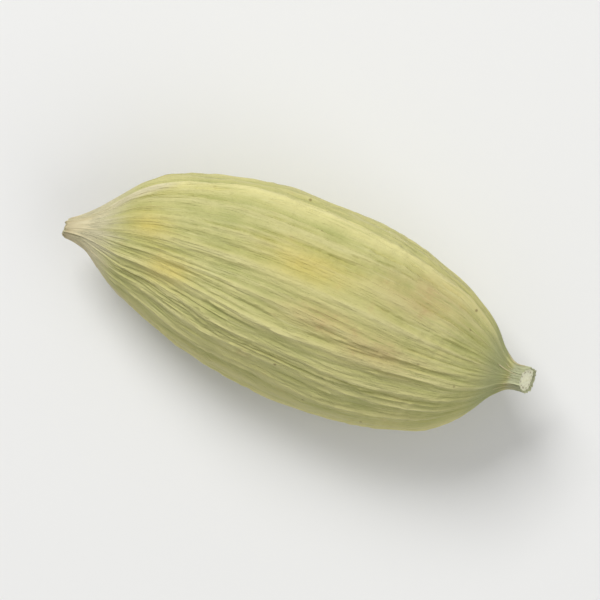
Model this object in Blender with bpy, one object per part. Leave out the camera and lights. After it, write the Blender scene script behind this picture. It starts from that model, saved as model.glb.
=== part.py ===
"""Green cardamom pod: one dried seed capsule with its cut stalk and the withered end of its flower.

The pod grew as one piece, so it is one solid. It lies on its belly. +X runs from the flower end to
the stalk end, +Z is up, and the origin is on the surface under the middle of the pod's box.
"""

import math

import bmesh
import bpy
import numpy as np

# Sizes are in millimetres, and the mesh is brought to metres as the last step.
METRES_PER_MM = 0.001

# Driving dimensions. Places along the pod are measured from the tip of the flower end.
POD_LENGTH = 17.5
GIRTH_SCALE = 0.835
HALF_WIDTHS = (
    (0.0, 0.26),
    (0.45, 0.48),
    (0.9, 0.80),
    (1.4, 1.28),
    (2.1, 1.91),
    (3.4, 2.60),
    (5.4, 3.25),
    (7.6, 3.60),
    (9.4, 3.68),
    (11.2, 3.55),
    (13.0, 3.12),
    (14.6, 2.45),
    (15.6, 1.68),
    (16.2, 0.90),
    (16.55, 0.58),
    (17.0, 0.52),
    (17.5, 0.62),
)
AXIS_SIDEWAYS = (
    (0.0, -0.10),
    (0.9, 0.14),
    (2.8, 0.52),
    (5.3, 0.52),
    (9.4, 0.28),
    (13.0, 0.0),
    (15.5, -0.12),
    (17.5, -0.02),
)
AXIS_HEIGHT = (
    (0.0, 2.52),
    (1.2, 2.76),
    (4.0, 3.00),
    (9.0, 3.07),
    (13.5, 3.06),
    (16.2, 3.17),
    (17.5, 3.36),
)

# The capsule has three lobes, each with a keel along its crest. Angles run from +Y towards +Z.
KEEL_ANGLES = (42.0, 194.0, 315.0)
LOBE_HEIGHT = 0.19
LOBE_SPREAD = 33.0
KEEL_HEIGHT = 0.13
KEEL_SPREAD = 7.5

# Raised veins run from end to end. The keels are three of them, and the main ones reach both tips.
VEIN_COUNT = 24
KEEL_VEINS = (0, 10, 18)
MAIN_VEINS = (0, 5, 10, 14, 18, 21)
VEIN_HEIGHTS = (0.045, 0.105)
MAIN_VEIN_HEIGHT = 0.115
MAIN_VEIN_TIP_SHARE = 0.42
VEIN_SPREAD = 0.28
VEIN_JITTER = 1.9
VEIN_WANDER = 1.5
WANDER_WAVELENGTHS = (9.0, 16.0)
RIPPLE_SHARE = 0.22
RIPPLES_PER_WANDER = 2.2
VEIN_FADE_NARROW = 0.7
VEIN_FADE_WIDE = 2.3

# Drying leaves broad, shallow swells and hollows in the husk.
SWELL_COUNT = 7
SWELL_HEIGHTS = (0.015, 0.042)
SWELL_WAVELENGTHS = (3.6, 9.5)
SWELL_LOBES = (1, 5)
SEED = 72

# How finely the solid is cut into flat faces.
COLUMNS_PER_VEIN = 4
STATION_COUNT = 46
END_CROWDING = 0.74
CUT_END_INSET = 0.10
CUT_END_DISH = 0.07
SPOT_SNAP = 0.03
SHARP_ANGLE = 42.0

HUSK_GREEN = (0.46, 0.44, 0.15, 1.0)
HUSK_ROUGHNESS = 0.62


def smooth_curve(knots, places):
    """Reads a smooth curve through (place, value) knots at the given places."""
    at, values = np.array(knots).T
    slopes = np.gradient(values, at)
    low = np.clip(np.searchsorted(at, places, side="right") - 1, 0, len(at) - 2)
    span = at[low + 1] - at[low]
    t = (places - at[low]) / span
    return (
        (2 * t**3 - 3 * t**2 + 1) * values[low]
        + (t**3 - 2 * t**2 + t) * span * slopes[low]
        + (3 * t**2 - 2 * t**3) * values[low + 1]
        + (t**3 - t**2) * span * slopes[low + 1]
    )


def smooth_step(low, high, values):
    t = np.clip((values - low) / (high - low), 0.0, 1.0)
    return t * t * (3 - 2 * t)


def draw_veins(random):
    """The resting angle, wander and height of each vein, drawn once from the seed."""
    turns = np.interp(
        np.arange(VEIN_COUNT),
        (*KEEL_VEINS, VEIN_COUNT),
        (*KEEL_ANGLES, KEEL_ANGLES[0] + 360.0),
    )
    free = ~np.isin(np.arange(VEIN_COUNT), KEEL_VEINS)
    turns = turns + free * random.uniform(-VEIN_JITTER, VEIN_JITTER, VEIN_COUNT)
    heights = random.uniform(*VEIN_HEIGHTS, VEIN_COUNT)
    heights[list(MAIN_VEINS)] = MAIN_VEIN_HEIGHT
    return {
        "angle": turns,
        "height": heights,
        "wavelength": random.uniform(*WANDER_WAVELENGTHS, VEIN_COUNT),
        "phase": random.uniform(0.0, math.tau, VEIN_COUNT),
    }


def draw_swells(random):
    """Height, wavelength, lobe count and phase of each broad swell of the dried husk."""
    return [
        (
            random.uniform(*SWELL_HEIGHTS),
            random.uniform(*SWELL_WAVELENGTHS),
            random.integers(*SWELL_LOBES, endpoint=True),
            random.uniform(0.0, math.tau),
        )
        for _ in range(SWELL_COUNT)
    ]


def vein_angles(veins, index, place):
    """The angle in degrees of vein number index at a place along the pod, past the last vein too."""
    ring = index % VEIN_COUNT
    swing = math.tau * place / veins["wavelength"][ring] + veins["phase"][ring]
    return veins["angle"][ring] + 360.0 * (index // VEIN_COUNT) + VEIN_WANDER * np.sin(swing)


def vein_heights(veins, index, place, girth):
    """How far vein number index stands out. The lesser veins sink in where the pod narrows."""
    ring = index % VEIN_COUNT
    swing = math.tau * RIPPLES_PER_WANDER * place / veins["wavelength"][ring] + veins["phase"][ring]
    lesser = smooth_step(VEIN_FADE_NARROW, VEIN_FADE_WIDE, girth)
    main = MAIN_VEIN_TIP_SHARE + (1.0 - MAIN_VEIN_TIP_SHARE) * lesser
    share = np.where(np.isin(ring, MAIN_VEINS), main, lesser)
    return veins["height"][ring] * (1.0 + RIPPLE_SHARE * np.sin(swing)) * share


def hump(gap, spread):
    """A rounded rise of height one, which falls away over the given spread."""
    return np.exp(-((gap / spread) ** 2))


def angle_gap(first, second):
    """The smallest turn between two angles, in degrees."""
    return (first - second + 180.0) % 360.0 - 180.0


def pod_surface(place, column):
    """The pod's surface point at a place along it and a column round it, counted in veins."""
    random = np.random.default_rng(SEED)
    veins = draw_veins(random)
    swells = draw_swells(random)
    girth = GIRTH_SCALE * smooth_curve(HALF_WIDTHS, place)
    fullness = smooth_step(VEIN_FADE_NARROW, VEIN_FADE_WIDE, girth)

    before = np.floor(column).astype(int)
    past = column - before
    left = vein_angles(veins, before, place)
    right = vein_angles(veins, before + 1, place)
    angle = left + past * (right - left)

    lobes = sum(hump(angle_gap(angle, keel), LOBE_SPREAD) for keel in KEEL_ANGLES)
    keels = sum(
        hump(angle_gap(angle, vein_angles(veins, np.full_like(before, vein), place)), KEEL_SPREAD)
        for vein in KEEL_VEINS
    )
    relief = (
        vein_heights(veins, before, place, girth) * hump(past, VEIN_SPREAD)
        + vein_heights(veins, before + 1, place, girth) * hump(1 - past, VEIN_SPREAD)
        + KEEL_HEIGHT * fullness * keels
    )
    turn = np.radians(angle)
    for height, wavelength, count, phase in swells:
        wave = np.sin(math.tau * place / wavelength + count * turn + phase)
        relief = relief + fullness * height * wave

    radius = girth * (1.0 + LOBE_HEIGHT * fullness * lobes) + relief
    return (
        place - POD_LENGTH / 2,
        smooth_curve(AXIS_SIDEWAYS, place) + radius * np.cos(turn),
        smooth_curve(AXIS_HEIGHT, place) + radius * np.sin(turn),
    )


def stations():
    """Places of the rings along the pod, closer together towards the narrow ends."""
    t = np.linspace(0.0, 1.0, STATION_COUNT)
    eased = 0.5 - 0.5 * np.cos(math.pi * t)
    return POD_LENGTH * ((1 - END_CROWDING) * t + END_CROWDING * eased)


def spun_tube(places, columns):
    """An open tube of unit radius round the X axis, with one ring of vertices at each place."""
    mesh = bmesh.new()
    line = [mesh.verts.new((place, 1.0, 0.0)) for place in places]
    edges = [mesh.edges.new(pair) for pair in zip(line, line[1:])]
    bmesh.ops.spin(
        mesh,
        geom=line + edges,
        cent=(0.0, 0.0, 0.0),
        axis=(1.0, 0.0, 0.0),
        angle=math.tau,
        steps=columns,
        use_merge=True,
    )
    return mesh


def shape_as_pod(mesh):
    """Moves each vertex of the unit tube to its place on the pod's surface."""
    tube = np.array([vertex.co for vertex in mesh.verts])
    turns = np.arctan2(tube[:, 2], tube[:, 1]) / math.tau
    steps = np.round(turns * VEIN_COUNT * COLUMNS_PER_VEIN) % (VEIN_COUNT * COLUMNS_PER_VEIN)
    points = np.stack(pod_surface(tube[:, 0], steps / COLUMNS_PER_VEIN), axis=1)
    for vertex, point in zip(mesh.verts, points):
        vertex.co = point


def close_ends(mesh):
    """Caps both ends, and dishes the cut end of the stalk a little."""
    rim = [edge for edge in mesh.edges if edge.is_boundary]
    caps = bmesh.ops.holes_fill(mesh, edges=rim, sides=0)["faces"]
    cut_end = max(caps, key=lambda face: face.calc_center_median().x)
    bmesh.ops.inset_region(mesh, faces=[cut_end], thickness=CUT_END_INSET)
    bmesh.ops.translate(mesh, verts=cut_end.verts, vec=(-CUT_END_DISH, 0.0, 0.0))


def flatten_belly(mesh):
    """Cuts the small flat spot that the pod rests on, at the height of the surface."""
    for vertex in mesh.verts:
        if abs(vertex.co.z) < SPOT_SNAP:
            vertex.co.z = 0.0
    bmesh.ops.bisect_plane(
        mesh,
        geom=mesh.verts[:] + mesh.edges[:] + mesh.faces[:],
        plane_co=(0.0, 0.0, 0.0),
        plane_no=(0.0, 0.0, 1.0),
        clear_inner=True,
    )
    level = [face for face in mesh.faces if not any(vertex.co.z for vertex in face.verts)]
    bmesh.ops.delete(mesh, geom=level, context="FACES")
    bmesh.ops.remove_doubles(mesh, verts=mesh.verts, dist=SPOT_SNAP / 10)
    rim = [edge for edge in mesh.edges if edge.is_boundary]
    bmesh.ops.holes_fill(mesh, edges=rim, sides=0)


def centre_sideways(mesh):
    """Brings the middle of the pod's width over the origin."""
    sideways = [vertex.co.y for vertex in mesh.verts]
    middle = (min(sideways) + max(sideways)) / 2
    bmesh.ops.translate(mesh, verts=mesh.verts, vec=(0.0, -middle, 0.0))


def husk_material():
    material = bpy.data.materials.new("green_husk")
    material.use_nodes = True
    shader = material.node_tree.nodes["Principled BSDF"]
    shader.inputs["Base Color"].default_value = HUSK_GREEN
    shader.inputs["Roughness"].default_value = HUSK_ROUGHNESS
    shader.inputs["Metallic"].default_value = 0.0
    material.diffuse_color = HUSK_GREEN
    return material


def make_pod():
    mesh = spun_tube(stations(), VEIN_COUNT * COLUMNS_PER_VEIN)
    shape_as_pod(mesh)
    close_ends(mesh)
    bmesh.ops.recalc_face_normals(mesh, faces=mesh.faces)
    flatten_belly(mesh)
    centre_sideways(mesh)
    bmesh.ops.recalc_face_normals(mesh, faces=mesh.faces)
    bmesh.ops.scale(mesh, verts=mesh.verts, vec=(METRES_PER_MM,) * 3)

    data = bpy.data.meshes.new("cardamom_pod")
    mesh.to_mesh(data)
    mesh.free()
    data.shade_smooth()
    data.set_sharp_from_angle(angle=math.radians(SHARP_ANGLE))
    data.materials.append(husk_material())
    pod = bpy.data.objects.new("cardamom_pod", data)
    bpy.context.scene.collection.objects.link(pod)
    return pod


def main():
    for old in list(bpy.data.objects):
        bpy.data.objects.remove(old, do_unlink=True)
    make_pod()


main()
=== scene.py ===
"""Looks of a dried green cardamom pod: the veined husk, the cut stalk and the withered flower end.

Lengths in the shape's formulas are in millimetres, with places along the pod measured from the tip
of the flower end. A finished mesh is in metres. Angles round the pod run from +Y towards +Z.
"""

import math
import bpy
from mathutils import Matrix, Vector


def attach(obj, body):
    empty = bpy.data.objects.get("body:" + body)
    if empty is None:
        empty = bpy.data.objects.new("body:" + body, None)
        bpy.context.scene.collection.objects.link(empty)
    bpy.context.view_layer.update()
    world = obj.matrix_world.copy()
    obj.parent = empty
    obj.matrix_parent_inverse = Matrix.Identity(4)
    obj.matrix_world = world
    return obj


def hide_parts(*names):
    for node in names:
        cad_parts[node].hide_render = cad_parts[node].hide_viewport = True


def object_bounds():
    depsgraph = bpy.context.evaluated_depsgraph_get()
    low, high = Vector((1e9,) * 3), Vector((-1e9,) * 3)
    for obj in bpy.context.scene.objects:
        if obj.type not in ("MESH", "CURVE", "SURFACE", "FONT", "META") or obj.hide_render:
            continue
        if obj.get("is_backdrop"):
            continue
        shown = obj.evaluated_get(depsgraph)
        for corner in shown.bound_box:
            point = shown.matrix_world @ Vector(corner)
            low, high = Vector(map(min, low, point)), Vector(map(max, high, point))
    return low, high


bl_info = {
    "name": "Green Cardamom Pod",
    "version": (1, 0, 0),
    "blender": (4, 5, 0),
    "location": "View3D > Sidebar > Cardamom",
    "description": "Models the husk and both ends of a dried green cardamom pod over its solid",
    "category": "Object",
}

import bmesh
import bpy
import numpy as np
from bpy.props import FloatProperty, FloatVectorProperty, IntProperty, PointerProperty
from bpy.types import Operator, Panel, PropertyGroup
from mathutils import Vector

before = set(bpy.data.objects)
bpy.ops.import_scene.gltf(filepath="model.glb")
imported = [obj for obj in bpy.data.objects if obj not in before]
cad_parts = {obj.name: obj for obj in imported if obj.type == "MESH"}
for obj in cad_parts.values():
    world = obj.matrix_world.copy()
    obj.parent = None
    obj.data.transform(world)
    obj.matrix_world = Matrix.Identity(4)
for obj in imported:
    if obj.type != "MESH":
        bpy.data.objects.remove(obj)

NODE = "cardamom_pod"
BODY = "root"
PER_METRE = 1000.0

SOLID_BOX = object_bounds()
POD_LENGTH = (SOLID_BOX[1].x - SOLID_BOX[0].x) * PER_METRE

# The pod's main form, the same as the solid's.
GIRTH_SCALE = 0.835
HALF_WIDTHS = (
    (0.0, 0.26),
    (0.45, 0.48),
    (0.9, 0.80),
    (1.4, 1.28),
    (2.1, 1.91),
    (3.4, 2.60),
    (5.4, 3.25),
    (7.6, 3.60),
    (9.4, 3.68),
    (11.2, 3.55),
    (13.0, 3.12),
    (14.6, 2.45),
    (15.6, 1.68),
    (16.2, 0.90),
    (16.55, 0.58),
    (17.0, 0.52),
    (17.5, 0.62),
)
AXIS_SIDEWAYS = (
    (0.0, -0.10),
    (0.9, 0.14),
    (2.8, 0.52),
    (5.3, 0.52),
    (9.4, 0.28),
    (13.0, 0.0),
    (15.5, -0.12),
    (17.5, -0.02),
)
AXIS_HEIGHT = (
    (0.0, 2.52),
    (1.2, 2.76),
    (4.0, 3.00),
    (9.0, 3.07),
    (13.5, 3.06),
    (16.2, 3.17),
    (17.5, 3.36),
)
KEEL_ANGLES = (42.0, 194.0, 315.0)
LOBE_HEIGHT = 0.19
LOBE_SPREAD = 33.0
KEEL_HEIGHT = 0.13
KEEL_SPREAD = 7.5
VEIN_COUNT = 24
KEEL_VEINS = (0, 10, 18)
MAIN_VEINS = (0, 5, 10, 14, 18, 21)
VEIN_HEIGHTS = (0.045, 0.105)
MAIN_VEIN_HEIGHT = 0.115
MAIN_VEIN_TIP_SHARE = 0.42
VEIN_SPREAD = 0.28
VEIN_JITTER = 1.9
VEIN_WANDER = 1.5
WANDER_WAVELENGTHS = (9.0, 16.0)
RIPPLE_SHARE = 0.22
RIPPLES_PER_WANDER = 2.2
VEIN_FADE_NARROW = 0.7
VEIN_FADE_WIDE = 2.3
SWELL_COUNT = 7
SWELL_HEIGHTS = (0.015, 0.042)
SWELL_WAVELENGTHS = (3.6, 9.5)
SWELL_LOBES = (1, 5)
SEED = 72

# How closely the pod's width is measured to find its middle.
MEASURED_PLACES = 200
MEASURED_COLUMN_STEP = 0.25

# Finer relief that only the fine mesh carries. Lobes count a wave's crests once round the pod.
FINE_SEED = 5
CREST_SPREAD = 0.11
CREST_SHARE = 0.2
LESSER_VEINS = (0.34, 0.66)
LESSER_VEIN_SPREAD = 0.085
LESSER_VEIN_HEIGHTS = (0.016, 0.042)
LESSER_VEIN_WANDER = 0.06
LESSER_VEIN_WANDER_RATE = 0.6
LESSER_VEIN_BREAKS = (3.0, 8.0)
LESSER_VEIN_PRESENCE = (-0.9, 0.4)
STRIAE = {"count": 30, "heights": (0.003, 0.0075), "wavelengths": (4.0, 14.0), "lobes": (50, 118)}
CREASES = {"count": 26, "heights": (0.010, 0.018), "wavelengths": (1.8, 6.0), "lobes": (14, 40)}
CREASE_SHARE = 0.55
CRINKLES = {"count": 22, "heights": (0.0012, 0.0032), "wavelengths": (0.28, 0.8), "lobes": (6, 30)}
CRINKLE_PATCHES = {"count": 8, "heights": (0.3, 0.6), "wavelengths": (2.5, 7.0), "lobes": (1, 6)}
CRINKLE_PATCH_EDGES = (-0.4, 0.9)
SKIN_SHARE_AT_TIPS = 0.35

# Both ends have crumbled rims, and the stalk is torn off on a slant that faces up.
CHIPS = {"count": 12, "heights": (0.15, 0.4), "wavelengths": (1.0, 2.0), "lobes": (2, 24)}
CHIP_DEPTH = 0.03
CHIP_MEAN = 2.0
FLOWER_CHIP_REACH = 0.7
STALK_CHIP_REACH = 1.3
STALK_SLANT = 0.55

# How finely the husk is meshed, and the rings that close its two ends.
COLUMNS_PER_VEIN = 12
WALL_STATIONS = 312
END_CROWDING = 0.6
THROAT_SHARES = (0.93, 0.8, 0.62, 0.42, 0.2, 0.0)
THROAT_DEPTH = 0.3
SOCKET_FLOOR_SHARE = 0.86
SOCKET_SHARES = (0.96, 0.9, SOCKET_FLOOR_SHARE, 0.5, 0.0)
SOCKET_DEPTH = 0.14

# How near the axis, the level or each other points are before they meet, and how sharp an edge
# has to be to stay one.
POLE_RADIUS = 1e-5
POLE_MERGE = 1e-4
SPOT_SNAP = 0.02
SPOT_MERGE = SPOT_SNAP / 20
SHARP_ANGLE = math.radians(50.0)

# The papery collar that is left of the flower, round the tip. Its root is sunk into the skin, and
# its edge stands off the skin in a few curls. Its tears follow the chips' waves, read further along.
COLLAR_RINGS = 18
COLLAR_COLUMNS_PER_VEIN = 5
COLLAR_LIFTS = (-0.015, 0.02)
COLLAR_THICKNESS = 0.018
COLLAR_TEAR_PLACE = 0.4
COLLAR_LEAST_TEAR = 0.3
COLLAR_NICK_SHARE = 0.2
COLLAR_CURLS = 3
COLLAR_CURL_SHARE = 0.5

# The cut face of the stalk, set into the stub: a pale pith with a ring of bundle ends. Its relief
# is whole within the level share of it, and fades out towards its rim.
PITH_SHARE = 0.9
PITH_RIM = 0.09
PITH_BACK = 0.12
PITH_BACK_SHARE = 0.5
PITH_LEVEL_SHARE = 0.8
PITH_RINGS = 16
PITH_COLUMNS = 120
BUNDLES = 11
BUNDLE_SHARE = 0.66
BUNDLE_SPREADS = (0.07, 7.0)
BUNDLE_HEIGHT = 0.03
PITH_GRAIN = {"count": 16, "heights": (0.002, 0.005), "wavelengths": (0.1, 0.4), "lobes": (3, 26)}

# Loose strands along the stub and the beak: where they start and end along the pod, how thick they
# are, how far they drift round it, and how far their thin ends lift off it.
STUB_STRANDS = {"starts": (16.0, 16.6), "ends": (16.8, 17.3)}
BEAK_STRANDS = {"starts": (1.2, 2.3), "ends": (0.15, 0.7)}
STRAND_RADII = (0.010, 0.020)
STRAND_SIDES = 5
STRAND_CUTS = 9
STRAND_DRIFT = 0.5
STRAND_LIFTS = (0.0, 0.05)
STRAND_LIFT_SHARES = (0.3, 1.0)
STRAND_TAPER = 0.7

# Stains on the upper face: place along the pod, distance to +Y of the middle, length and width.
TAN_PATCHES = ((12.7, 1.45, 1.5, 0.75), (11.7, -0.9, 1.5, 0.55), (9.4, -0.4, 1.2, 0.45))
YELLOW_PATCHES = ((2.95, 0.8, 0.75, 0.5), (4.0, -0.45, 0.8, 0.45), (8.6, 1.2, 1.6, 0.6))
UPPER_FACE = (2.5, 4.0)

# What the husk's marks take in: spreads in shares of the way between veins and in degrees, a height
# in millimetres, and the shares of the radius that are inside an end, where shade is painted.
VEIN_MARK_SPREAD = 0.14
LESSER_VEIN_MARK = 0.6
KEEL_MARK_SPREAD = 6.0
RAISED_MARK_HEIGHT = 0.16
HOLLOW_SHADE_SHARES = (0.9, 0.6)

# The materials' patterns, as repeats in a millimetre. Those with three numbers are drawn out along
# the veins.
CLOUDS = 0.42
MOTTLE = 1.6
GRAIN = 12.0
STREAKS = (0.22, 2.6, 2.6)
SKIN_STRANDS = (0.5, 9.0, 9.0)
FIBRES = (0.9, 13.0, 13.0)
SPECK_CELLS = 1.5
SPECK_CHANCE = (0.70, 0.74)
SPECK_RADII = (0.03, 0.12)
COLLAR_LINES = (0.7, 9.0, 9.0)
COLLAR_BLOTCHES = 2.2
PITH_SPONGE = 9.0
STRAW_STREAKS = 2.5

# Where along the pod the bare ends and the greyer neck have their colours.
BEAK_END = 2.5
NECK_START = 15.1
NECK_END = 16.6
STUB_START = 16.35

# How much each colour covers the husk where it is at its fullest.
COVER = {
    # Painted shade: the furrows' darker green follows the low relief.
    "furrow": 0.7,
    "vein": 0.5,
    # Partly painted highlight along the keels.
    "keel": 0.85,
    "tan": 0.8,
    "strand": 0.55,
    "strand_gap": 0.4,
    "neck": 0.4,
    "tip": 0.9,
    "stub": 0.9,
    "yellow": 0.7,
    # Painted shade: the bundles' brown deep in the ends' hollows.
    "bundle": 0.85,
    "speck": 0.6,
}

# Dry plant matter: little gloss, and bumps of the depths given in millimetres.
SPECULAR = 0.3
NOISE_ROUGHNESS = 0.6
BUMP_STRENGTH = 0.8
FIBRE_DEPTH = 0.10
GRAIN_DEPTH = 0.03
COLLAR_LINE_DEPTH = 0.02
PITH_DEPTH = 0.03

# The stage, in metres. A light's place is the picture's right and up, in shares of its height.
FLOOR_DROP = 0.00001
KEY_LIGHT = {"toward": (-0.4, 0.8), "height": 0.24, "size": 0.15}
FILL_LIGHT = {"toward": (0.8, -0.5), "height": 0.2, "size": 0.25}
CLIP_START = 0.001
CLIP_END = 10.0


def smooth_curve(knots, places):
    """Reads a smooth curve through (place, value) knots at the given places."""
    at, values = np.array(knots).T
    slopes = np.gradient(values, at)
    low = np.clip(np.searchsorted(at, places, side="right") - 1, 0, len(at) - 2)
    span = at[low + 1] - at[low]
    t = (places - at[low]) / span
    return (
        (2 * t**3 - 3 * t**2 + 1) * values[low]
        + (t**3 - 2 * t**2 + t) * span * slopes[low]
        + (3 * t**2 - 2 * t**3) * values[low + 1]
        + (t**3 - t**2) * span * slopes[low + 1]
    )


def smooth_step(low, high, values):
    t = np.clip((values - low) / (high - low), 0.0, 1.0)
    return t * t * (3 - 2 * t)


def hump(gap, spread):
    """A rounded rise of height one, which falls away over the given spread."""
    return np.exp(-((gap / spread) ** 2))


def angle_gap(first, second):
    """The smallest turn between two angles, in degrees."""
    return (first - second + 180.0) % 360.0 - 180.0


def draw_veins(random):
    """The resting angle, wander and height of each vein, drawn once from the seed."""
    turns = np.interp(
        np.arange(VEIN_COUNT),
        (*KEEL_VEINS, VEIN_COUNT),
        (*KEEL_ANGLES, KEEL_ANGLES[0] + 360.0),
    )
    free = ~np.isin(np.arange(VEIN_COUNT), KEEL_VEINS)
    turns = turns + free * random.uniform(-VEIN_JITTER, VEIN_JITTER, VEIN_COUNT)
    heights = random.uniform(*VEIN_HEIGHTS, VEIN_COUNT)
    heights[list(MAIN_VEINS)] = MAIN_VEIN_HEIGHT
    return {
        "angle": turns,
        "height": heights,
        "wavelength": random.uniform(*WANDER_WAVELENGTHS, VEIN_COUNT),
        "phase": random.uniform(0.0, math.tau, VEIN_COUNT),
    }


def draw_waves(random, count, heights, wavelengths, lobes):
    """Height, wavelength, lobe count and phase of each of the waves that make up a relief."""
    return [
        (
            random.uniform(*heights),
            random.uniform(*wavelengths),
            random.integers(*lobes, endpoint=True),
            random.uniform(0.0, math.tau),
        )
        for _ in range(count)
    ]


def wave_sum(waves, place, turn, both_ways=True):
    """Adds up waves. With both_ways, every second one slants round the pod the other way."""
    total = 0.0
    for index, (height, wavelength, lobes, phase) in enumerate(waves):
        slant = -1 if both_ways and index % 2 else 1
        swing = math.tau * place / wavelength + slant * lobes * turn + phase
        total = total + height * np.sin(swing)
    return total


class PodForm:
    """The pod's shape as a formula of a place along it and a column round it, counted in veins."""

    def __init__(self, settings):
        self.crests = settings.vein_sharpness
        self.skin = settings.wrinkles
        coarse = np.random.default_rng(SEED)
        self.veins = draw_veins(coarse)
        self.swells = draw_waves(coarse, SWELL_COUNT, SWELL_HEIGHTS, SWELL_WAVELENGTHS, SWELL_LOBES)
        fine = np.random.default_rng(FINE_SEED)
        lesser = (len(LESSER_VEINS), VEIN_COUNT)
        self.lesser = {
            "height": fine.uniform(*LESSER_VEIN_HEIGHTS, lesser),
            "breaks": fine.uniform(*LESSER_VEIN_BREAKS, lesser),
            "phase": fine.uniform(0.0, math.tau, lesser),
        }
        self.striae = draw_waves(fine, **STRIAE)
        self.creases = draw_waves(fine, **CREASES)
        self.crinkles = draw_waves(fine, **CRINKLES)
        self.crinkle_patches = draw_waves(fine, **CRINKLE_PATCHES)
        self.chips = draw_waves(fine, **CHIPS)
        self.pith_grain = draw_waves(fine, **PITH_GRAIN)
        self.shift = 0.0
        self.shift = self.shift_to_middle()

    def shift_to_middle(self):
        """What brings the middle of the pod's width over the origin, as in the solid."""
        place, column = np.meshgrid(
            np.linspace(0.0, POD_LENGTH, MEASURED_PLACES),
            np.arange(0.0, VEIN_COUNT, MEASURED_COLUMN_STEP),
        )
        sideways = self.points(place.ravel(), 1.0, column.ravel())[:, 1]
        return -(sideways.min() + sideways.max()) / 2

    def girth(self, place):
        return GIRTH_SCALE * smooth_curve(HALF_WIDTHS, place)

    def fullness(self, place):
        """How full the pod is at a place: nothing at the tips and one along the body."""
        return smooth_step(VEIN_FADE_NARROW, VEIN_FADE_WIDE, self.girth(place))

    def vein_angle(self, index, place):
        """The angle in degrees of vein number index, past the last vein too."""
        ring = index % VEIN_COUNT
        swing = math.tau * place / self.veins["wavelength"][ring] + self.veins["phase"][ring]
        whole_turns = 360.0 * (index // VEIN_COUNT)
        return self.veins["angle"][ring] + whole_turns + VEIN_WANDER * np.sin(swing)

    def vein_height(self, index, place):
        """How far vein number index stands out. The lesser veins sink in where the pod narrows."""
        ring = index % VEIN_COUNT
        phase = self.veins["phase"][ring]
        swing = math.tau * RIPPLES_PER_WANDER * place / self.veins["wavelength"][ring] + phase
        fade = self.fullness(place)
        main = MAIN_VEIN_TIP_SHARE + (1.0 - MAIN_VEIN_TIP_SHARE) * fade
        share = np.where(np.isin(ring, MAIN_VEINS), main, fade)
        return self.veins["height"][ring] * (1.0 + RIPPLE_SHARE * np.sin(swing)) * share

    def angle(self, place, column):
        before = np.floor(column).astype(int)
        left = self.vein_angle(before, place)
        return left + (column - before) * (self.vein_angle(before + 1, place) - left)

    def keel(self, place, column, spread):
        """One on each keel's crest, falling away over the spread in degrees."""
        angle = self.angle(place, column)
        return sum(
            hump(angle_gap(angle, self.vein_angle(np.full(place.shape, vein), place)), spread)
            for vein in KEEL_VEINS
        )

    def crest(self, place, column, spread):
        """The veins' heights, on crests whose spread is a share of the way to the next vein."""
        before = np.floor(column).astype(int)
        past = column - before
        return (
            self.vein_height(before, place) * hump(past, spread)
            + self.vein_height(before + 1, place) * hump(1 - past, spread)
        )

    def lesser_crest(self, place, column):
        """Finer veins between the main ones, which come and go along the pod."""
        before = np.floor(column).astype(int)
        past = column - before
        ring = before % VEIN_COUNT
        total = 0.0
        for row, share in enumerate(LESSER_VEINS):
            breaks = self.lesser["breaks"][row][ring]
            swing = math.tau * place / breaks + self.lesser["phase"][row][ring]
            middle = share + LESSER_VEIN_WANDER * np.sin(LESSER_VEIN_WANDER_RATE * swing)
            presence = smooth_step(*LESSER_VEIN_PRESENCE, np.sin(swing))
            height = self.lesser["height"][row][ring] * presence
            total = total + height * hump(past - middle, LESSER_VEIN_SPREAD)
        return total * self.fullness(place)

    def skin_relief(self, place, column):
        """The dried skin between the veins: fine striae, long creases and patches of crinkles."""
        turn = math.tau * column / VEIN_COUNT
        creases = CREASES["heights"][1] - np.abs(wave_sum(self.creases, place, turn))
        patches = smooth_step(*CRINKLE_PATCH_EDGES, wave_sum(self.crinkle_patches, place, turn))
        return (
            wave_sum(self.striae, place, turn)
            + CREASE_SHARE * creases
            + patches * wave_sum(self.crinkles, place, turn)
        )

    def fine_relief(self, place, column):
        """What the fine mesh adds to the solid's own relief."""
        share = SKIN_SHARE_AT_TIPS + (1 - SKIN_SHARE_AT_TIPS) * self.fullness(place)
        skin = self.lesser_crest(place, column) + share * self.skin_relief(place, column)
        crests = self.crests * CREST_SHARE * self.crest(place, column, CREST_SPREAD)
        return crests + self.skin * skin

    def coarse_relief(self, place, column):
        """The solid's own relief: veins, keels and swells."""
        fade = self.fullness(place)
        turn = np.radians(self.angle(place, column))
        return (
            self.crest(place, column, VEIN_SPREAD)
            + KEEL_HEIGHT * fade * self.keel(place, column, KEEL_SPREAD)
            + fade * wave_sum(self.swells, place, turn, both_ways=False)
        )

    def crumbled(self, place, share, column):
        """Places along the pod, once both rims have crumbled and the stalk is torn on its slant."""
        ragged = CHIP_MEAN + wave_sum(self.chips, 0.0, math.tau * column / VEIN_COUNT)
        chips = share * CHIP_DEPTH * np.maximum(ragged, 0.0)
        slant = STALK_SLANT * (1.0 + share * np.sin(np.radians(self.angle(place, column)))) / 2
        at_flower = 1.0 - smooth_step(0.0, FLOWER_CHIP_REACH, place)
        at_stalk = smooth_step(POD_LENGTH - STALK_CHIP_REACH, POD_LENGTH, place)
        return place + at_flower * chips - at_stalk * (chips + slant)

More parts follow.
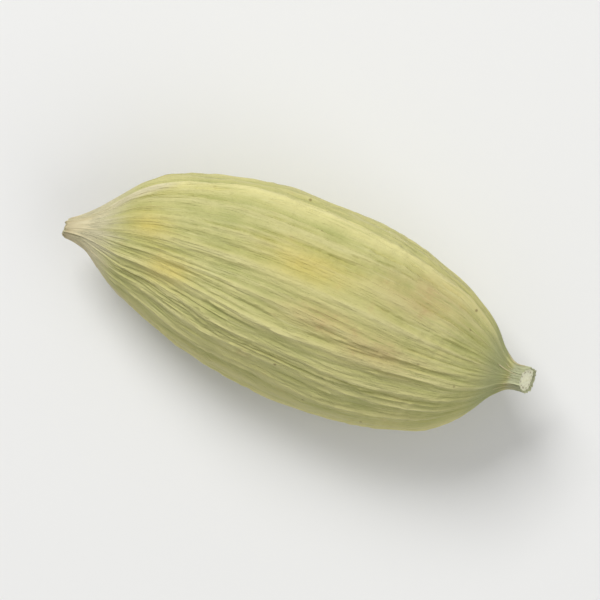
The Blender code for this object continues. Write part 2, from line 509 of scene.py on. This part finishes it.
    def points(self, place, share, column, lift=0.0):
        """Points of the pod in millimetres. A share of one is on the skin, nought on the axis."""
        angle = self.angle(place, column)
        turn = np.radians(angle)
        lobes = sum(hump(angle_gap(angle, keel), LOBE_SPREAD) for keel in KEEL_ANGLES)
        round_form = self.girth(place) * (1.0 + LOBE_HEIGHT * self.fullness(place) * lobes)
        radius = round_form + self.coarse_relief(place, column)
        radius = radius + self.fine_relief(place, column) + lift
        return np.stack(
            (
                place - POD_LENGTH / 2,
                smooth_curve(AXIS_SIDEWAYS, place) + share * radius * np.cos(turn) + self.shift,
                smooth_curve(AXIS_HEIGHT, place) + share * radius * np.sin(turn),
            ),
            axis=1,
        )


def opaque(colour):
    return (*colour, 1.0)


class Wire:
    """A socket of a material. Arithmetic on it adds Math nodes, and node() adds any other kind."""

    def __init__(self, tree, socket=None):
        self.tree = tree
        self.socket = socket

    def node(self, kind, settings=None, sockets=None, output=0):
        made = self.tree.nodes.new(kind)
        for name, value in (settings or {}).items():
            setattr(made, name, value)
        for name, value in (sockets or {}).items():
            if isinstance(value, Wire):
                self.tree.links.new(value.socket, made.inputs[name])
            else:
                made.inputs[name].default_value = value
        return Wire(self.tree, made.outputs[output])

    def math(self, operation, first, second=0.0, clamp=False):
        settings = {"operation": operation, "use_clamp": clamp}
        return self.node("ShaderNodeMath", settings, {0: first, 1: second})

    def __add__(self, other):
        return self.math("ADD", self, other)

    def __radd__(self, other):
        return self.math("ADD", other, self)

    def __sub__(self, other):
        return self.math("SUBTRACT", self, other)

    def __rsub__(self, other):
        return self.math("SUBTRACT", other, self)

    def __mul__(self, other):
        return self.math("MULTIPLY", self, other)

    def __rmul__(self, other):
        return self.math("MULTIPLY", other, self)

    def clamped(self):
        return self.math("ADD", self, 0.0, clamp=True)

    def rise(self, low, high):
        """Nought below low, one above high, and a smooth rise between."""
        settings = {"interpolation_type": "SMOOTHSTEP"}
        sockets = {"Value": self, "From Min": low, "From Max": high}
        return self.node("ShaderNodeMapRange", settings, sockets)

    def scaled(self, *factors):
        """A vector scaled by three factors."""
        return self.node("ShaderNodeVectorMath", {"operation": "MULTIPLY"}, {0: self, 1: factors})

    def noise(self, scale=1.0, detail=3.0):
        """Noise between nought and one at the places that this vector gives."""
        sockets = {"Vector": self, "Scale": scale, "Detail": detail, "Roughness": NOISE_ROUGHNESS}
        return self.node("ShaderNodeTexNoise", None, sockets)

    def colour(self, colour):
        """A plain colour to start a mix from."""
        plain = self.node("ShaderNodeRGB")
        plain.socket.default_value = opaque(colour)
        return plain

    def tinted(self, colour, factor):
        """This colour, mixed towards another by a factor."""
        sockets = {0: factor, 6: self, 7: opaque(colour)}
        return self.node("ShaderNodeMix", {"data_type": "RGBA"}, sockets, output=2)

    def mark(self, name, output="Fac"):
        """What the mesh stores under a name at each point."""
        return self.node("ShaderNodeAttribute", {"attribute_name": name}, output=output)

    def millimetres(self):
        """The object's own coordinates, in millimetres."""
        place = self.node("ShaderNodeTexCoord", output="Object")
        return place.scaled(PER_METRE, PER_METRE, PER_METRE)

    def bump(self, height, depth):
        """A normal bumped by a height, to a depth in millimetres, on top of this one if it is one."""
        sockets = {"Height": height, "Strength": BUMP_STRENGTH, "Distance": depth / PER_METRE}
        if self.socket:
            sockets["Normal"] = self
        return self.node("ShaderNodeBump", None, sockets)


def new_material(name, colour, roughness):
    """A material with its shader, and a wire to start its other nodes from."""
    material = bpy.data.materials.new(name)
    material.use_nodes = True
    material.diffuse_color = opaque(colour)
    shader = material.node_tree.nodes["Principled BSDF"]
    shader.inputs["Base Color"].default_value = opaque(colour)
    shader.inputs["Roughness"].default_value = roughness
    shader.inputs["Specular IOR Level"].default_value = SPECULAR
    return material, shader, Wire(material.node_tree)


def feed(shader, **wires):
    """Links wires to the shader's sockets, named with an underscore for each space."""
    for name, wire in wires.items():
        wire.tree.links.new(wire.socket, shader.inputs[name.replace("_", " ")])


def husk_material(look):
    """Olive skin, greener and darker in the furrows as painted shade, paler on the veins, with a
    painted highlight in the keels' cream, stained, specked, bare at both ends, and painted shade in
    the ends' hollows.
    """
    material, shader, start = new_material("green_husk_skin", look.husk, 0.6)
    here = start.millimetres()
    flow = start.mark("flow", "Vector")
    crest = start.mark("crest")
    along = start.mark("along")

    clouds = here.noise(CLOUDS)
    mottle = here.noise(MOTTLE, detail=5.0)
    streaks = flow.scaled(*STREAKS).noise(detail=5.0)
    strands = flow.scaled(*SKIN_STRANDS).noise(detail=4.0)

    # Painted shade: the skin turns a darker green where the relief is low, in the furrows between the
    # veins, on top of random green clouds and streaks.
    green = (0.6 - start.mark("raised")) * 0.9 + (0.5 - clouds) * 1.5 + (streaks - 0.5) * 0.7
    skin = start.colour(look.husk).tinted(look.furrow, green.rise(0.0, 0.95) * COVER["furrow"])
    veins = (crest * (streaks * 1.1 + 0.25)).clamped()
    skin = skin.tinted(look.vein, veins * COVER["vein"])
    # Partly painted highlight: the three keels get a cream tint that is partly their own paler colour
    # and partly a highlight painted along the ridges.
    keels = (start.mark("keel") * (0.5 + mottle * 0.7)).clamped()
    skin = skin.tinted(look.keel, keels * COVER["keel"])
    blotches = (mottle * 0.6 + clouds * 0.4).rise(0.58, 0.7) * 0.4
    stains = (start.mark("stain") * (mottle * 1.5 - 0.1) + blotches).clamped()
    skin = skin.tinted(look.tan, stains * COVER["tan"])
    skin = skin.tinted(look.strand, strands.rise(0.54, 0.72) * COVER["strand"])
    skin = skin.tinted(look.furrow, (0.46 - strands).rise(0.0, 0.16) * COVER["strand_gap"])

    # The ends' colours are ragged along the streaks, and the beak's runs furthest along the keels.
    neck = (along - NECK_START).rise(0.0, 0.9) * (NECK_END - along).rise(0.0, 0.5)
    beak = (BEAK_END - along + (streaks - 0.5) * 2.0 + start.mark("keel") * 1.4).rise(0.0, 1.4)
    stub = (along - STUB_START + (streaks - 0.5) * 0.8).rise(0.0, 0.6)
    skin = skin.tinted(look.neck, neck * COVER["neck"])
    skin = skin.tinted(look.tip, beak * COVER["tip"])
    skin = skin.tinted(look.stub, stub * COVER["stub"])
    faded = (start.mark("yellow") * (0.35 + mottle * 0.9)).clamped()
    skin = skin.tinted(look.yellow, faded * COVER["yellow"])
    # Painted shade: the bundles' brown darkens the hollows deep inside both ends.
    skin = skin.tinted(look.bundle, start.mark("hollow") * COVER["bundle"])

    # A speck lies in the middle of each cell that chance has chosen.
    cells = {"Vector": here, "Scale": SPECK_CELLS}
    chance = start.node("ShaderNodeTexVoronoi", None, cells, "Color")
    chosen = start.node("ShaderNodeSeparateColor", None, {0: chance}).rise(*SPECK_CHANCE)
    distance = start.node("ShaderNodeTexVoronoi", None, cells, "Distance")
    specks = (1.0 - distance.rise(*SPECK_RADII)) * chosen
    skin = skin.tinted(look.speck, specks * COVER["speck"])

    fibres = flow.scaled(*FIBRES).noise()
    grain = here.noise(GRAIN)
    rough = 0.62 - crest * 0.10 + (mottle - 0.5) * 0.22
    normal = start.bump(fibres, FIBRE_DEPTH).bump(grain + specks * 0.4, GRAIN_DEPTH)
    feed(shader, Base_Color=skin, Roughness=rough.clamped(), Normal=normal)
    return material


def collar_material(look):
    """Thin dry paper with fine lines, browner towards its torn edge."""
    material, shader, start = new_material("papery_collar", look.tip, 0.7)
    lines = start.mark("flow", "Vector").scaled(*COLLAR_LINES).noise(detail=4.0)
    blotches = start.millimetres().noise(COLLAR_BLOTCHES)
    paper = start.colour(look.tip).tinted(look.tan, (lines * 1.8 - 0.6).clamped() * 0.5)
    paper = paper.tinted(look.bundle, (start.mark("torn") * (0.1 + blotches)).clamped() * 0.5)
    normal = start.bump(lines, COLLAR_LINE_DEPTH)
    feed(shader, Base_Color=paper, Roughness=0.6 + blotches * 0.25, Normal=normal)
    return material


def pith_material(look):
    """Pale spongy pith with brown bundle ends."""
    material, shader, start = new_material("stalk_pith", look.pith, 0.8)
    grain = start.millimetres().noise(PITH_SPONGE, detail=4.0)
    face = start.colour(look.pith).tinted(look.tan, (grain * 1.6 - 0.55).clamped() * 0.45)
    face = face.tinted(look.bundle, start.mark("bundle") * 0.7)
    normal = start.bump(grain, PITH_DEPTH)
    feed(shader, Base_Color=face, Roughness=0.7 + grain * 0.2, Normal=normal)
    return material


def strand_material(look):
    """Dry straw strands, unevenly browned."""
    material, shader, start = new_material("dry_strands", look.tip, 0.65)
    streaks = start.millimetres().noise(STRAW_STREAKS)
    straw = start.colour(look.tip).tinted(look.tan, streaks * 0.6)
    feed(shader, Base_Color=straw, Roughness=0.5 + streaks * 0.3)
    return material


def spun_tube(profile, columns):
    """A tube round the X axis from (place, share) points, closed where a share is nought."""
    mesh = bmesh.new()
    line = [mesh.verts.new((place, share, 0.0)) for place, share in profile]
    edges = [mesh.edges.new(pair) for pair in zip(line, line[1:])]
    bmesh.ops.spin(
        mesh,
        geom=line + edges,
        cent=(0.0, 0.0, 0.0),
        axis=(1.0, 0.0, 0.0),
        angle=math.tau,
        steps=columns,
        use_merge=True,
    )
    poles = [vertex for vertex in mesh.verts if vertex.co.yz.length < POLE_RADIUS]
    bmesh.ops.remove_doubles(mesh, verts=poles, dist=POLE_MERGE)
    return mesh


def tube_coordinates(mesh, columns):
    """Place, share of the radius, and column in veins of each vertex of a spun tube."""
    tube = np.array([vertex.co for vertex in mesh.verts])
    turns = np.arctan2(tube[:, 2], tube[:, 1]) / math.tau
    steps = np.round(turns * columns) % columns
    return tube[:, 0], np.hypot(tube[:, 1], tube[:, 2]), steps * VEIN_COUNT / columns


def move_vertices(vertices, points):
    for vertex, point in zip(vertices, points):
        vertex.co = point


def store_marks(mesh, **marks):
    """Stores named values at the mesh's points, for the materials to read."""
    for name, values in marks.items():
        layer = mesh.verts.layers.float.new(name)
        for vertex, value in zip(mesh.verts, values):
            vertex[layer] = value


def store_flow(mesh, place, column):
    """Stores each point's place on a straight round pod, for patterns that follow the veins."""
    layer = mesh.verts.layers.float_vector.new("flow")
    radius = GIRTH_SCALE * max(width for _, width in HALF_WIDTHS)
    turn = math.tau * column / VEIN_COUNT
    lines = np.stack((place, radius * np.cos(turn), radius * np.sin(turn)), axis=1)
    for vertex, line in zip(mesh.verts, lines):
        vertex[layer] = Vector(line)


def finish_piece(mesh, name, material):
    """Makes an object in metres of a bmesh in millimetres. It is smooth but for its sharp edges."""
    if not all(edge.is_manifold for edge in mesh.edges):
        raise RuntimeError(f"{name} is not a closed shape")
    bmesh.ops.recalc_face_normals(mesh, faces=mesh.faces)
    bmesh.ops.scale(mesh, verts=mesh.verts, vec=(1.0 / PER_METRE,) * 3)
    data = bpy.data.meshes.new(name)
    mesh.to_mesh(data)
    mesh.free()
    data.shade_smooth()
    data.set_sharp_from_angle(angle=SHARP_ANGLE)
    data.materials.append(material)
    piece = bpy.data.objects.new(name, data)
    bpy.context.scene.collection.objects.link(piece)
    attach(piece, BODY)
    return piece


def husk_profile():
    """Places along the wall, crowded towards both ends, with the rings that close them."""
    t = np.linspace(0.0, 1.0, WALL_STATIONS)
    eased = 0.5 - 0.5 * np.cos(math.pi * t)
    crowded = (1 - END_CROWDING) * t + END_CROWDING * eased
    wall = [(place, 1.0) for place in POD_LENGTH * crowded]
    throat = [(THROAT_DEPTH * (1 - share), share) for share in THROAT_SHARES]
    socket = []
    for share in SOCKET_SHARES:
        sunk = min(1.0, (1 - share) / (1 - SOCKET_FLOOR_SHARE))
        socket.append((POD_LENGTH - SOCKET_DEPTH * sunk, share))
    return throat[::-1] + wall + socket


def patches(points, places):
    """One at the middle of each stained patch on the upper face, falling away to nought."""
    total = 0.0
    for along, sideways, length, width in places:
        lengthwise = hump(points[:, 0] + POD_LENGTH / 2 - along, length)
        total = total + lengthwise * hump(points[:, 1] - sideways, width)
    return smooth_step(*UPPER_FACE, points[:, 2]) * np.clip(total, 0.0, 1.0)


def mark_husk(mesh, form, place, share, column):
    """Stores what the husk's material needs to know about each point of the surface."""
    veins = form.crest(place, column, VEIN_MARK_SPREAD) / MAIN_VEIN_HEIGHT
    lesser = form.lesser_crest(place, column) / LESSER_VEIN_HEIGHTS[1]
    relief = form.crest(place, column, VEIN_SPREAD) + form.fine_relief(place, column)
    points = form.points(place, share, column)
    store_marks(
        mesh,
        crest=np.clip(veins + LESSER_VEIN_MARK * lesser, 0.0, 1.0),
        keel=np.clip(form.keel(place, column, KEEL_MARK_SPREAD), 0.0, 1.0),
        raised=np.clip(relief / RAISED_MARK_HEIGHT, 0.0, 1.0),
        along=place,
        hollow=smooth_step(*HOLLOW_SHADE_SHARES, share),
        stain=patches(points, TAN_PATCHES),
        yellow=patches(points, YELLOW_PATCHES),
    )
    store_flow(mesh, place, column)


def flatten_belly(mesh):
    """Cuts the small flat spot that the pod rests on, at the height of the surface."""
    for vertex in mesh.verts:
        if abs(vertex.co.z) < SPOT_SNAP:
            vertex.co.z = 0.0
    bmesh.ops.bisect_plane(
        mesh,
        geom=mesh.verts[:] + mesh.edges[:] + mesh.faces[:],
        plane_co=(0.0, 0.0, 0.0),
        plane_no=(0.0, 0.0, 1.0),
        clear_inner=True,
    )
    level = [face for face in mesh.faces if not any(vertex.co.z for vertex in face.verts)]
    bmesh.ops.delete(mesh, geom=level, context="FACES")
    bmesh.ops.remove_doubles(mesh, verts=mesh.verts, dist=SPOT_MERGE)
    stray = [vertex for vertex in mesh.verts if not vertex.link_faces]
    bmesh.ops.delete(mesh, geom=stray, context="VERTS")
    rim = [edge for edge in mesh.edges if edge.is_boundary]
    bmesh.ops.holes_fill(mesh, edges=rim, sides=0)


def lay_strand(mesh, form, random, starts, ends):
    """Adds one tapered strand that follows the surface and lifts a little at its loose end."""
    first = len(mesh.verts)
    made = bmesh.ops.create_cone(
        mesh, cap_ends=True, segments=STRAND_SIDES, radius1=1.0, radius2=1.0, depth=1.0
    )
    sides = {edge for vertex in made["verts"] for edge in vertex.link_edges}
    sides = [edge for edge in sides if edge.verts[0].co.z * edge.verts[1].co.z < 0.0]
    bmesh.ops.subdivide_edges(mesh, edges=sides, cuts=STRAND_CUTS, use_grid_fill=True)
    mesh.verts.ensure_lookup_table()
    fresh = mesh.verts[first:]
    tube = np.array([vertex.co for vertex in fresh])
    t = tube[:, 2] + 0.5
    start = random.uniform(*starts)
    place = start + (random.uniform(*ends) - start) * t
    column = random.uniform(0.0, VEIN_COUNT) + STRAND_DRIFT * random.uniform(-1.0, 1.0) * t
    column = column % VEIN_COUNT
    place = form.crumbled(place, 1.0, column)
    low, high = STRAND_LIFTS
    lift = low + random.uniform(*STRAND_LIFT_SHARES) * (high - low) * t**2
    middle = form.points(place, 1.0, column, lift)
    outward = middle - form.points(place, 0.0, column)
    outward = outward / np.linalg.norm(outward, axis=1, keepdims=True)
    sideways = np.cross((1.0, 0.0, 0.0), outward)
    radius = (random.uniform(*STRAND_RADII) * (1.0 - STRAND_TAPER * t))[:, None]
    move_vertices(fresh, middle + radius * (tube[:, :1] * outward + tube[:, 1:2] * sideways))


def colour_setting(name, description, default):
    """A colour that the user can change."""
    return FloatVectorProperty(
        name=name, description=description, default=default, min=0.0, max=1.0, subtype="COLOR"
    )


def length_setting(name, description, millimetres):
    """A length that the user can change, kept in metres."""
    return FloatProperty(
        name=name,
        description=description,
        default=millimetres / PER_METRE,
        min=0.0,
        unit="LENGTH",
        precision=5,
    )


def share_setting(name, description, default):
    """A strength that the user can change, where one is as on the real pod."""
    return FloatProperty(
        name=name, description=description, default=default, min=0.0, max=2.0, subtype="FACTOR"
    )


def count_setting(name, description, default):
    """A number of pieces that the user can change."""
    return IntProperty(name=name, description=description, default=default, min=1)


def amount_setting(name, description, default):
    """A plain number that the user can change, in the unit that its description gives."""
    return FloatProperty(name=name, description=description, default=default, min=0.0)


class CardamomShapeSettings(PropertyGroup):
    vein_sharpness: share_setting("Vein sharpness", "How sharply the veins' crests stand out", 1.0)
    wrinkles: share_setting("Wrinkles", "How deep the wrinkles of the dried skin are", 1.0)
    collar_length: length_setting("Collar length", "How far the papery collar reaches back", 1.25)
    collar_tear: length_setting("Collar tear", "How deep the tears in the collar's edge are", 0.16)
    stub_strands: count_setting("Stub strands", "Loose strands on the stalk's stub", 22)
    beak_strands: count_setting("Beak strands", "Loose strands at the flower end", 9)


class CardamomColourSettings(PropertyGroup):
    husk: colour_setting("Husk", "Main colour of the skin", (0.56, 0.53, 0.215))
    # This darker green is painted as shade in the low furrows, and is also laid in the gaps between
    # the skin's strands.
    furrow: colour_setting("Furrows", "Greener skin between the veins", (0.37, 0.39, 0.125))
    vein: colour_setting("Veins", "Straw colour of the veins", (0.68, 0.62, 0.33))
    # The keels' cream is partly their own paler colour and partly a painted highlight along the
    # ridges.
    keel: colour_setting("Keels", "Cream colour of the three keels", (0.76, 0.70, 0.31))
    yellow: colour_setting("Yellow patches", "Where the green has faded", (0.70, 0.56, 0.14))
    tan: colour_setting("Tan patches", "Dry stained skin", (0.54, 0.40, 0.18))
    strand: colour_setting("Skin strands", "Pale strands in the skin", (0.64, 0.61, 0.29))
    tip: colour_setting("Beak", "Bare dry skin at the flower end", (0.69, 0.63, 0.41))
    stub: colour_setting("Stub", "Bare green-white skin of the stalk", (0.61, 0.63, 0.40))
    neck: colour_setting("Neck", "Greyer green below the stalk", (0.33, 0.39, 0.21))
    speck: colour_setting("Specks", "Small brown specks", (0.17, 0.10, 0.035))
    pith: colour_setting("Pith", "Pale pith of the torn stalk", (0.90, 0.91, 0.69))
    # This brown is also painted as shade in the hollows inside both ends of the husk.
    bundle: colour_setting("Bundle ends", "Brown ends of the stalk's bundles", (0.22, 0.14, 0.06))


class CardamomStageSettings(PropertyGroup):
    floor: colour_setting("Floor", "The pale floor", (0.79, 0.79, 0.78))
    floor_size: length_setting("Floor size", "Length of the floor's side", 3000.0)
    view_width: length_setting("View width", "Width that the picture covers", 21.0)
    fall: FloatProperty(
        name="Axis fall",
        description="How far the pod's axis falls to the right in the picture",
        default=math.radians(18.4),
        subtype="ANGLE",
    )
    lens: amount_setting("Lens", "Focal length in millimetres", 250.0)
    key_power: amount_setting("Key light", "Watts of the main soft light", 0.72)
    fill_power: amount_setting("Fill light", "Watts from the other side", 0.22)
    sky_strength: amount_setting("Room light", "Strength of the even light", 0.42)


class OBJECT_OT_cardamom_husk(Operator):
    """Models the pod's veined husk as one fine closed mesh"""

    bl_idname = "object.cardamom_husk"
    bl_label = "Husk"

    def execute(self, context):
        form = PodForm(context.scene.cardamom_shape)
        columns = VEIN_COUNT * COLUMNS_PER_VEIN
        mesh = spun_tube(husk_profile(), columns)
        place, share, column = tube_coordinates(mesh, columns)
        mark_husk(mesh, form, place, share, column)
        move_vertices(mesh.verts, form.points(form.crumbled(place, share, column), share, column))
        flatten_belly(mesh)
        husk = finish_piece(mesh, "husk", husk_material(context.scene.cardamom_colours))
        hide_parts(NODE)
        return {"FINISHED"}


class OBJECT_OT_cardamom_collar(Operator):
    """Models the torn papery collar that is left of the flower"""

    bl_idname = "object.cardamom_collar"
    bl_label = "Flower Collar"

    def execute(self, context):
        shape = context.scene.cardamom_shape
        form = PodForm(shape)
        reach = shape.collar_length * PER_METRE
        columns = VEIN_COUNT * COLLAR_COLUMNS_PER_VEIN
        profile = [(reach * ring / COLLAR_RINGS, 1.0) for ring in range(COLLAR_RINGS + 1)]
        mesh = spun_tube(profile, columns)
        place, share, column = tube_coordinates(mesh, columns)
        toward_edge = 1.0 - place / reach
        turn = math.tau * column / VEIN_COUNT
        tears = np.abs(wave_sum(form.chips, COLLAR_TEAR_PLACE, turn))
        nicks = COLLAR_NICK_SHARE * wave_sum(form.chips, 0.0, turn)
        ragged = np.maximum(tears + nicks + COLLAR_LEAST_TEAR, 0.0)
        place = place + shape.collar_tear * PER_METRE * ragged * toward_edge**2
        low, high = COLLAR_LIFTS
        curls = 1.0 + COLLAR_CURL_SHARE * np.sin(COLLAR_CURLS * turn)
        lift = low + (high - low) * toward_edge * curls
        store_marks(mesh, torn=toward_edge**2)
        store_flow(mesh, place, column)
        move_vertices(mesh.verts, form.points(place, share, column, lift))
        bmesh.ops.recalc_face_normals(mesh, faces=mesh.faces)
        bmesh.ops.solidify(mesh, geom=mesh.faces[:], thickness=COLLAR_THICKNESS)
        finish_piece(mesh, "flower_collar", collar_material(context.scene.cardamom_colours))
        return {"FINISHED"}


class OBJECT_OT_cardamom_pith(Operator):
    """Models the cut face of the stalk, with its ring of bundle ends"""

    bl_idname = "object.cardamom_pith"
    bl_label = "Stalk Pith"

    def execute(self, context):
        form = PodForm(context.scene.cardamom_shape)
        front = [(1.0, PITH_SHARE * ring / PITH_RINGS) for ring in range(PITH_RINGS + 1)]
        mesh = spun_tube(front + [(0.0, PITH_BACK_SHARE), (0.0, 0.0)], PITH_COLUMNS)
        face, share, column = tube_coordinates(mesh, PITH_COLUMNS)
        angle = 360.0 * column / VEIN_COUNT
        gap = angle_gap(angle * BUNDLES, 0.0) / BUNDLES
        bundle = hump(share - BUNDLE_SHARE, BUNDLE_SPREADS[0]) * hump(gap, BUNDLE_SPREADS[1])
        grain = wave_sum(form.pith_grain, share * form.girth(POD_LENGTH), np.radians(angle))
        flat = np.full(share.shape, POD_LENGTH)
        points = form.points(form.crumbled(flat, share, column), share, column)
        inside = smooth_step(PITH_SHARE, PITH_LEVEL_SHARE * PITH_SHARE, share)
        raised = face * inside * (BUNDLE_HEIGHT * bundle + grain)
        points[:, 0] += raised - (1.0 - face) * PITH_BACK - PITH_RIM
        store_marks(mesh, bundle=bundle)
        move_vertices(mesh.verts, points)
        finish_piece(mesh, "stalk_pith", pith_material(context.scene.cardamom_colours))
        return {"FINISHED"}


class OBJECT_OT_cardamom_strands(Operator):
    """Lays loose dry strands along the stalk's stub and the flower end"""

    bl_idname = "object.cardamom_strands"
    bl_label = "Loose Strands"

    def execute(self, context):
        shape = context.scene.cardamom_shape
        form = PodForm(shape)
        random = np.random.default_rng(FINE_SEED)
        for name, count, range_of in (
            ("stub_strands", shape.stub_strands, STUB_STRANDS),
            ("beak_strands", shape.beak_strands, BEAK_STRANDS),
        ):
            mesh = bmesh.new()
            for _ in range(count):
                lay_strand(mesh, form, random, **range_of)
            finish_piece(mesh, name, strand_material(context.scene.cardamom_colours))
        return {"FINISHED"}


class OBJECT_OT_cardamom_stage(Operator):
    """Sets up the pale floor, the soft studio lights and the camera that looks straight down"""

    bl_idname = "object.cardamom_stage"
    bl_label = "Floor, Lights and Camera"

    def execute(self, context):
        stage = context.scene.cardamom_stage
        self.lay_floor(stage)
        self.hang_light("key", stage, stage.key_power, **KEY_LIGHT)
        self.hang_light("fill", stage, stage.fill_power, **FILL_LIGHT)
        self.light_room(context.scene, stage)
        self.place_camera(context.scene, stage)
        return {"FINISHED"}

    def lay_floor(self, stage):
        mesh = bmesh.new()
        bmesh.ops.create_grid(mesh, x_segments=1, y_segments=1, size=stage.floor_size / 2)
        bmesh.ops.translate(mesh, verts=mesh.verts, vec=(0.0, 0.0, -FLOOR_DROP))
        data = bpy.data.meshes.new("floor")
        mesh.to_mesh(data)
        mesh.free()
        material, _, _ = new_material("pale_floor", stage.floor, 0.7)
        data.materials.append(material)
        floor = bpy.data.objects.new("floor", data)
        bpy.context.scene.collection.objects.link(floor)
        floor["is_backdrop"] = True

    def hang_light(self, name, stage, power, toward, height, size):
        """Hangs a square light to one side of the picture, aimed at the pod."""
        lamp = bpy.data.lights.new(name, "AREA")
        lamp.energy = power
        lamp.size = size
        light = bpy.data.objects.new(name, lamp)
        right, up = toward
        cosine, sine = math.cos(stage.fall), math.sin(stage.fall)
        place = Vector((right * cosine - up * sine, right * sine + up * cosine, 1.0)) * height
        light.location = place
        light.rotation_euler = (-place).to_track_quat("-Z", "Y").to_euler()
        bpy.context.scene.collection.objects.link(light)

    def light_room(self, scene, stage):
        world = bpy.data.worlds.new("room")
        world.use_nodes = True
        sky = world.node_tree.nodes["Background"]
        sky.inputs["Color"].default_value = (1.0, 1.0, 1.0, 1.0)
        sky.inputs["Strength"].default_value = stage.sky_strength
        scene.world = world
        scene.view_settings.view_transform = "Standard"

    def place_camera(self, scene, stage):
        lens = bpy.data.cameras.new("camera")
        lens.lens = stage.lens
        lens.clip_start = CLIP_START
        lens.clip_end = CLIP_END
        camera = bpy.data.objects.new("camera", lens)
        low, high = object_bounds()
        distance = stage.lens / lens.sensor_width * stage.view_width
        camera.location = (low + high) / 2 + Vector((0.0, 0.0, distance))
        camera.rotation_euler = (0.0, 0.0, stage.fall)
        scene.collection.objects.link(camera)
        scene.camera = camera


class VIEW3D_PT_cardamom(Panel):
    """Lists the pod's pieces, their sizes and their colours"""

    bl_label = "Green Cardamom Pod"
    bl_idname = "VIEW3D_PT_cardamom"
    bl_space_type = "VIEW_3D"
    bl_region_type = "UI"
    bl_category = "Cardamom"

    def draw(self, context):
        for name, group in GROUPS.items():
            box = self.layout.box()
            for setting in group.__annotations__:
                box.prop(getattr(context.scene, name), setting)
        for operator in OPERATORS:
            self.layout.operator(operator.bl_idname)


GROUPS = {
    "cardamom_shape": CardamomShapeSettings,
    "cardamom_colours": CardamomColourSettings,
    "cardamom_stage": CardamomStageSettings,
}
OPERATORS = (
    OBJECT_OT_cardamom_husk,
    OBJECT_OT_cardamom_collar,
    OBJECT_OT_cardamom_pith,
    OBJECT_OT_cardamom_strands,
    OBJECT_OT_cardamom_stage,
)


def register():
    for kind in (*GROUPS.values(), *OPERATORS, VIEW3D_PT_cardamom):
        bpy.utils.register_class(kind)
    for name, group in GROUPS.items():
        setattr(bpy.types.Scene, name, PointerProperty(type=group))


def unregister():
    for name in GROUPS:
        delattr(bpy.types.Scene, name)
    for kind in (VIEW3D_PT_cardamom, *OPERATORS, *GROUPS.values()):
        bpy.utils.unregister_class(kind)


def main():
    register()
    bpy.ops.object.cardamom_husk()
    bpy.ops.object.cardamom_collar()
    bpy.ops.object.cardamom_pith()
    bpy.ops.object.cardamom_strands()
    bpy.ops.object.cardamom_stage()
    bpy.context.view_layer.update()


if __name__ == "__main__":
    main()
